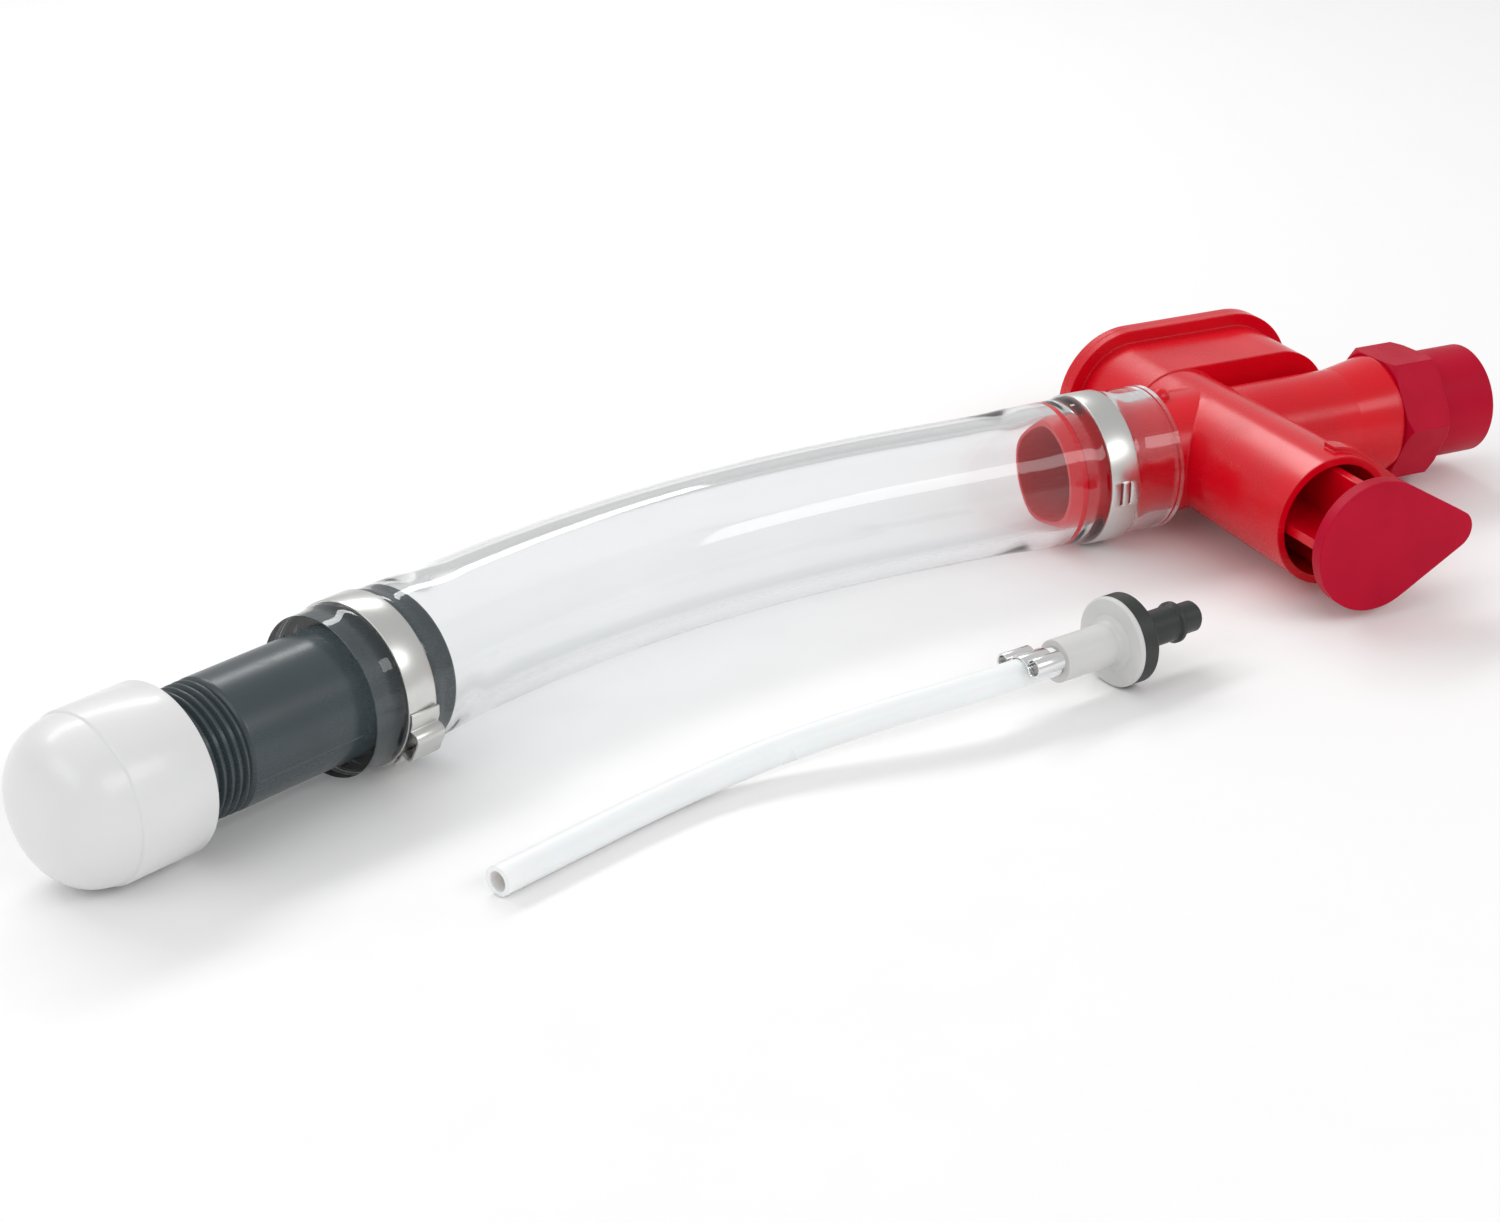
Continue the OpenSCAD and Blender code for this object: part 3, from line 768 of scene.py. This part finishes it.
class SIPHON_OT_end_cap(bpy.types.Operator):
    """The white screw cap on the nipple's end"""
    bl_idname = "siphon.end_cap"
    bl_label = "End cap"

    def execute(self, context):
        dome, step, pole_r = 11.5, 0.5, 0.6
        hollow_r, crest_r, root_r = 10.5, 13.42, 13.9
        top = CAP_LENGTH - dome
        # From the inside of the dome down through the thread, round the rim and up the outside
        shell = [(pole_r, 24.0), (7.5, 24.0), (9.6, 23.1), (hollow_r, 21.0),
                 (hollow_r, NIPPLE_IN_CAP + 2.1), (crest_r, NIPPLE_IN_CAP + 2.1)]
        for i in range(int((NIPPLE_IN_CAP + 1) / THREAD_PITCH)):
            z = NIPPLE_IN_CAP + 1.2 - i * THREAD_PITCH
            shell += [(root_r, z), (crest_r, z - THREAD_PITCH * 0.45)]
        shell += [(crest_r, 1.2), (14.0, 0.3), (14.3, 0.0), (CAP_R - 0.9, 0.0),
                  (CAP_R - 0.3, 0.2), (CAP_R, 0.8), (CAP_R, top - 0.35),
                  (CAP_R - 0.12, top - 0.08), (CAP_R - step + 0.05, top + 0.15)]
        steps = 22
        for i in range(1, steps):
            a = math.radians(90 * i / steps)
            shell.append(((CAP_R - step) * math.cos(a) ** 0.64, top + dome * math.sin(a)))
        shell.append((pole_r, CAP_LENGTH))
        piece = turn("cap_shell", shell,
                     AT_HOSE_END @ Matrix.Translation((CAP_RIM * MM, 0, 0)) @ Z_TO_X,
                     closed=False, sides=128)
        shade(piece, 40)
        # The lighter edge colour is a painted highlight along the cap's edges.
        wear(piece, finish_of("white_cap", (0.76, 0.76, 0.76), 0.33, (0.745, 0.745, 0.745),
                              (0.80, 0.80, 0.80), grain=0.012, uneven=4.0, coat=0.2,
                              scuffs=0.03, subsurface=0.15))
        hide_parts("end_cap")
        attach(piece, "cap")
        return {"FINISHED"}


class SIPHON_OT_nipple(bpy.types.Operator):
    """The grey pipe nipple with its taper thread and mould line"""
    bl_idname = "siphon.nipple"
    bl_label = "Pipe nipple"

    def execute(self, context):
        turns, depth, chamfer = 12, 1.05, 0.4
        taper = 1 / 32
        end = CAP_RIM + NIPPLE_IN_CAP
        start = end - turns * THREAD_PITCH - 1.2
        outline = [(NIPPLE_BORE_R, -NIPPLE_IN_HOSE + chamfer),
                   (NIPPLE_BORE_R + chamfer, -NIPPLE_IN_HOSE),
                   (NIPPLE_R - 0.6, -NIPPLE_IN_HOSE), (NIPPLE_R - 0.15, -NIPPLE_IN_HOSE + 0.2),
                   (NIPPLE_R, -NIPPLE_IN_HOSE + 0.7), (NIPPLE_R, 0.0), (NIPPLE_R, 8.0),
                   (NIPPLE_R, start - 0.9), (NIPPLE_R - 0.25, start - 0.5)]
        for i in range(turns):
            z = start + i * THREAD_PITCH
            crest = NIPPLE_R - 0.06 - (z - start) * taper
            outline += [(crest - depth, z + 0.10), (crest - depth, z + 0.28),
                        (crest - 0.08, z + 0.80), (crest, z + 0.92), (crest, z + 1.04),
                        (crest - 0.08, z + 1.16), (crest - depth, z + 1.68)]
        outline += [(NIPPLE_R - 1.7, end), (NIPPLE_BORE_R + chamfer, end),
                    (NIPPLE_BORE_R, end - chamfer)]
        piece = turn("threaded_nipple", outline, AT_HOSE_END @ Z_TO_X, sides=128)
        line_start, line_turn = 0.8, math.radians(-106)
        reach = start - line_start - 1.4
        line = box("mould_line", (reach, 0.40, 0.30),
                   AT_HOSE_END @ Matrix.Rotation(line_turn, 4, "X") @ Matrix.Translation(
                       ((reach / 2 + line_start) * MM, 0, (NIPPLE_R + 0.02) * MM)))
        piece = joined("threaded_nipple", [piece, line])
        shade(piece, 28)
        # The edge colour, far lighter than the body, is a painted highlight along the mould line
        # and thread crests.
        wear(piece, finish_of("grey_pipe", (0.044, 0.060, 0.066), 0.28, (0.038, 0.052, 0.058),
                              (0.10, 0.13, 0.14), grain=0.05, uneven=4.0, scuffs=0.10))
        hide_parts("nipple")
        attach(piece, "siphon")
        return {"FINISHED"}


class SIPHON_OT_finishes(bpy.types.Operator):
    """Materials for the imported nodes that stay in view"""
    bl_idname = "siphon.finishes"
    bl_label = "Finishes"

    def execute(self, context):
        settings = context.scene.siphon_tap
        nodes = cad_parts
        # The edge colours are painted highlights along the rounded edges and the lever plate's
        # rim.
        gloss = finish_of("red_gloss", tuple(settings.gloss_colour), 0.24,
                          edge_highlight_colour=(0.70, 0.01, 0.03), edge_radius=0.5, grain=0.03,
                          uneven=4.0, coat=0.05, scuffs=0.06, specular=0.36)
        satin = finish_of("red_satin", tuple(settings.satin_colour), 0.42,
                          edge_highlight_colour=(0.62, 0.005, 0.045), edge_radius=0.6, fine=1800.0,
                          grain=0.08, uneven=3.0, scuffs=0.12, specular=0.12)
        rubber = finish_of("black_rubber", (0.02, 0.02, 0.02), 0.6, grain=0.15)
        steel = finish_of("plain_steel", (0.62, 0.62, 0.60), 0.25, metallic=1.0, grain=0.05,
                          scuffs=0.2)
        # The lighter edge colours of these two are painted highlights along their edges.
        milky = finish_of("milky_plastic", (0.64, 0.64, 0.63), 0.38, (0.62, 0.62, 0.61),
                          (0.72, 0.72, 0.71), edge_radius=0.3, grain=0.05, subsurface=0.2)
        black = finish_of("black_plastic", (0.022, 0.024, 0.024), 0.42, (0.018, 0.020, 0.020),
                          (0.06, 0.065, 0.065), edge_radius=0.3, grain=0.12, scuffs=0.1)
        for material, names in (
                (gloss, ("tap_body", "tap_back_cover", "tap_plug")),
                (satin, ("inlet_adapter", "lever_plate")),
                (rubber, ("cap_washer", "inlet_gasket", "plug_front_seal", "plug_back_seal")),
                (steel, ("plug_thrust_washer", "plug_screw")),
                (milky, ("valve_inlet_half", "valve_diaphragm")),
                (black, ("valve_outlet_half",))):
            for name in names:
                wear(nodes[name], material)
        return {"FINISHED"}


class SIPHON_PT_panel(bpy.types.Panel):
    """Lists the pieces and their settings"""
    bl_idname = "SIPHON_PT_panel"
    bl_label = "Siphon hose"
    bl_space_type = "VIEW_3D"
    bl_region_type = "UI"
    bl_category = "Siphon"

    def draw(self, context):
        for operator in OPERATORS:
            self.layout.operator(operator.bl_idname)
        for name, group in SETTINGS.items():
            settings = getattr(context.scene, name)
            for key in group.__annotations__:
                self.layout.prop(settings, key)


OPERATORS = (SIPHON_OT_studio, SIPHON_OT_spring_clip, SIPHON_OT_air_tube, SIPHON_OT_clear_hose,
             SIPHON_OT_hose_clamps, SIPHON_OT_end_cap, SIPHON_OT_nipple, SIPHON_OT_finishes)
SETTINGS = {"siphon_hose": HoseSettings, "siphon_tap": TapSettings,
            "siphon_clamps": ClampSettings, "siphon_studio": StudioSettings}


def register():
    for group in SETTINGS.values():
        bpy.utils.register_class(group)
    for name, group in SETTINGS.items():
        setattr(bpy.types.Scene, name, bpy.props.PointerProperty(type=group))
    for operator in OPERATORS:
        bpy.utils.register_class(operator)
    bpy.utils.register_class(SIPHON_PT_panel)


def unregister():
    bpy.utils.unregister_class(SIPHON_PT_panel)
    for operator in reversed(OPERATORS):
        bpy.utils.unregister_class(operator)
    for name, group in SETTINGS.items():
        delattr(bpy.types.Scene, name)
        bpy.utils.unregister_class(group)


def main():
    register()
    for operator in OPERATORS:
        family, name = operator.bl_idname.split(".")
        getattr(getattr(bpy.ops, family), name)()
    select_nothing()


if __name__ == "__main__":
    main()
